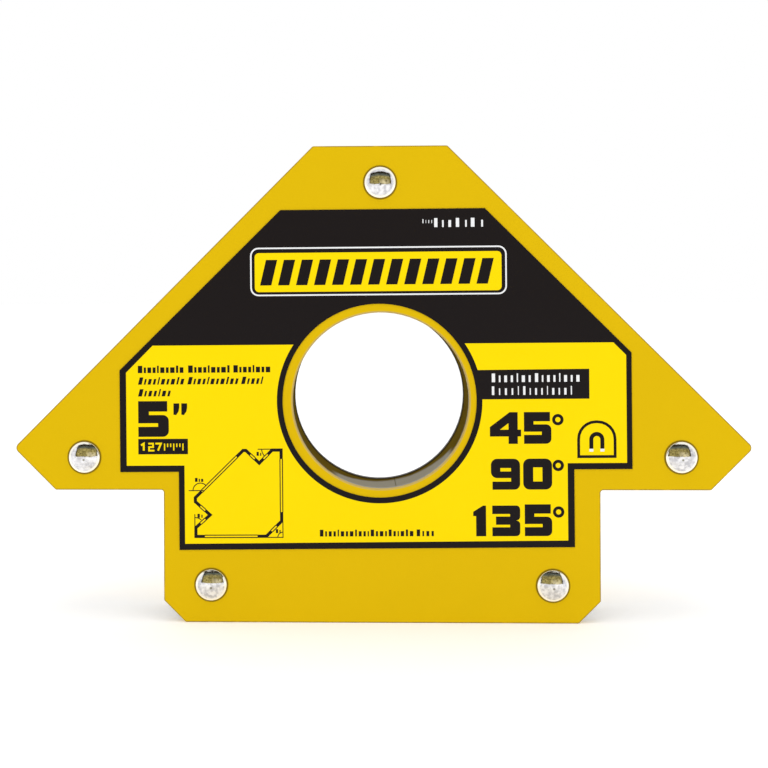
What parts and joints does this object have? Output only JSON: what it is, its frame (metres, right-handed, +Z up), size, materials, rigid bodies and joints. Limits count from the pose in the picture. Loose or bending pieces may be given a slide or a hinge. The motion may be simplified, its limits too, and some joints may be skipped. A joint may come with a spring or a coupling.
{
  "type": "welding magnet holder",
  "caption": "Arrow-shaped magnetic holder: steel plates riveted over ferrite blocks, with a round finger hole and angled working edges that hold steel in place for welding.",
  "frame": {"origin": "middle of the foot, which is the lowest edge, halfway between the two plates", "axes": "+X across, towards the holder's right as seen from the labelled front; +Y through the thickness, away from the labelled front; +Z up, from the foot to the top flat"},
  "size_m": [0.155, 0.0198, 0.1007],
  "materials": {
    "plate_paint": "yellow powder coat with a fine orange peel",
    "label_vinyl": "glossy printed vinyl, bright yellow and black",
    "liner_metal": "plain rolled strip, satin",
    "strip_metal": "plain rolled strip, satin",
    "rivet_metal": "bright nickel plate",
    "sleeve_metal": "turned, plain",
    "ferrite": "sintered, dark grey, matt"
  },
  "bodies": {
    "root": {"front_plate": "plate_paint", "back_plate": "plate_paint", "front_label": "label_vinyl", "hole_liner": "liner_metal", "left_rim_strip": "strip_metal", "right_rim_strip": "strip_metal", "rivet_top": "rivet_metal", "rivet_left_wing": "rivet_metal", "rivet_right_wing": "rivet_metal", "rivet_left_foot": "rivet_metal", "rivet_right_foot": "rivet_metal", "spacer_sleeve_top": "sleeve_metal", "spacer_sleeve_left_wing": "sleeve_metal", "spacer_sleeve_right_wing": "sleeve_metal", "spacer_sleeve_left_foot": "sleeve_metal", "spacer_sleeve_right_foot": "sleeve_metal", "magnet_left_slope_high": "ferrite", "magnet_left_slope_low": "ferrite", "magnet_right_slope_high": "ferrite", "magnet_right_slope_low": "ferrite", "magnet_left_stem": "ferrite", "magnet_right_stem": "ferrite", "magnet_left_foot": "ferrite", "magnet_right_foot": "ferrite"}
  },
  "joints": []
}
